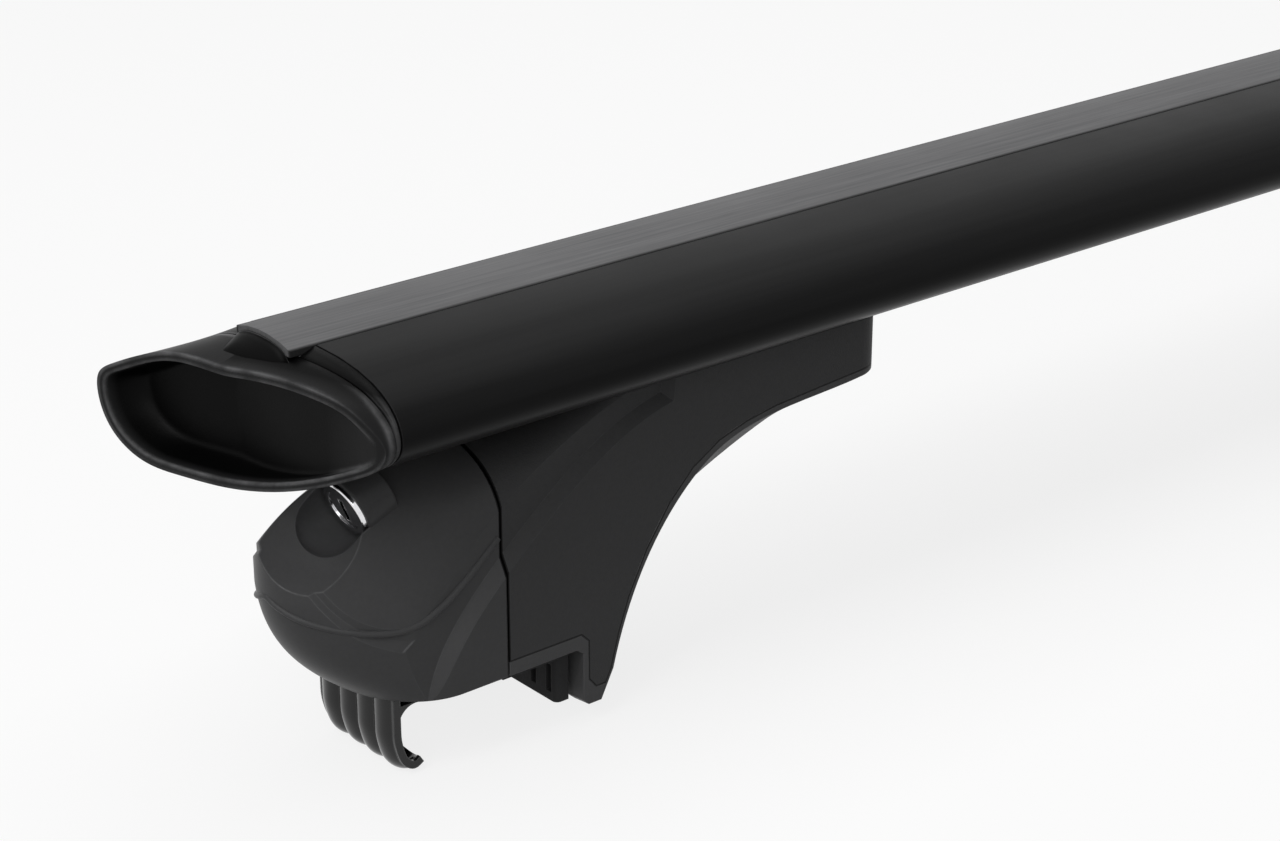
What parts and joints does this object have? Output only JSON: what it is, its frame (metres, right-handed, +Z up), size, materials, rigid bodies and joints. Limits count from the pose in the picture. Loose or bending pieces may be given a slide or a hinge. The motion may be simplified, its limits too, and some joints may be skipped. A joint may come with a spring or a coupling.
{
  "type": "roof rack crossbar",
  "caption": "Roof rack crossbar: a wing-section aluminium bar with a strip in its top slot and a lockable clamping foot at each end for raised roof rails.",
  "frame": {"origin": "centre of the bounding box at its bottom, on the ground under the claws", "axes": "+X along the bar, +Y across the bar towards the side that is the far one in the picture, +Z up"},
  "size_m": [1.202, 0.0801, 0.1065],
  "materials": {
    "bar_metal": "satin black coating on extruded aluminium",
    "strip_rubber": "matt grey rubber with fine lines along it",
    "cap_plastic": "fine matt moulded black",
    "cover_plastic": "smooth satin moulded black",
    "lock_chrome": "polished chrome",
    "zinc_steel": "zinc plated steel",
    "housing_plastic": "fine grained moulded black",
    "base_plastic": "fine grained moulded black",
    "pad_rubber": "soft matt black rubber",
    "claw_metal": "glossy black coated cast metal"
  },
  "bodies": {
    "bar": {"bar": "bar_metal", "top_strip": "strip_rubber", "left_end_cap": "cap_plastic", "left_cap_collar": "cap_plastic", "right_end_cap": "cap_plastic", "right_cap_collar": "cap_plastic"},
    "left_foot": {"left_foot_housing": "housing_plastic", "left_foot_base": "base_plastic", "left_rail_pad": "pad_rubber", "left_barrel_nut": "zinc_steel", "left_slot_plate": "zinc_steel", "left_slot_screws": "zinc_steel"},
    "left_clamp": {"left_clamp_claw": "claw_metal", "left_bolt_washer": "zinc_steel"},
    "left_bolt": {"left_draw_bolt": "zinc_steel"},
    "left_cover": {"left_cover": "cover_plastic", "left_lock_barrel": "lock_chrome"},
    "left_lock": {"left_lock_plug": "lock_chrome", "left_lock_cam": "zinc_steel"},
    "right_foot": {"right_foot_housing": "housing_plastic", "right_foot_base": "base_plastic", "right_rail_pad": "pad_rubber", "right_barrel_nut": "zinc_steel", "right_slot_plate": "zinc_steel", "right_slot_screws": "zinc_steel"},
    "right_clamp": {"right_clamp_claw": "claw_metal", "right_bolt_washer": "zinc_steel"},
    "right_bolt": {"right_draw_bolt": "zinc_steel"},
    "right_cover": {"right_cover": "cover_plastic", "right_lock_barrel": "lock_chrome"},
    "right_lock": {"right_lock_plug": "lock_chrome", "right_lock_cam": "zinc_steel"}
  },
  "joints": [
    {"name": "left_foot_slide", "type": "slide", "parent": "bar", "child": "left_foot", "axis": [1, 0, 0], "range_m": [0, 0.12]},
    {"name": "left_clamp_slide", "type": "slide", "parent": "left_foot", "child": "left_clamp", "axis": [1, 0, 0], "range_m": [0, 0.01]},
    {"name": "left_bolt_turn", "type": "hinge", "parent": "left_clamp", "child": "left_bolt", "pos_m": [-0.5625, 0, 0.034], "axis": [1, 0, 0], "range_deg": [0, 2880]},
    {"name": "left_cover_pull", "type": "slide", "parent": "left_foot", "child": "left_cover", "axis": [-1, 0, 0], "range_m": [0, 0.06]},
    {"name": "left_lock_turn", "type": "hinge", "parent": "left_cover", "child": "left_lock", "pos_m": [-0.5653, -0.004, 0.0636], "axis": [0.9272, 0, 0.3746], "range_deg": [0, 90]},
    {"name": "right_foot_slide", "type": "slide", "parent": "bar", "child": "right_foot", "axis": [-1, 0, 0], "range_m": [0, 0.12]},
    {"name": "right_clamp_slide", "type": "slide", "parent": "right_foot", "child": "right_clamp", "axis": [-1, 0, 0], "range_m": [0, 0.01]},
    {"name": "right_bolt_turn", "type": "hinge", "parent": "right_clamp", "child": "right_bolt", "pos_m": [0.5625, 0, 0.034], "axis": [-1, 0, 0], "range_deg": [0, 2880]},
    {"name": "right_cover_pull", "type": "slide", "parent": "right_foot", "child": "right_cover", "axis": [1, 0, 0], "range_m": [0, 0.06]},
    {"name": "right_lock_turn", "type": "hinge", "parent": "right_cover", "child": "right_lock", "pos_m": [0.5653, -0.004, 0.0636], "axis": [-0.9272, 0, 0.3746], "range_deg": [0, 90]}
  ],
  "couplings": [
    {"joint": "left_bolt_turn", "follows": "left_clamp_slide", "rad_per_m": 5026.6},
    {"joint": "right_bolt_turn", "follows": "right_clamp_slide", "rad_per_m": 5026.6}
  ]
}
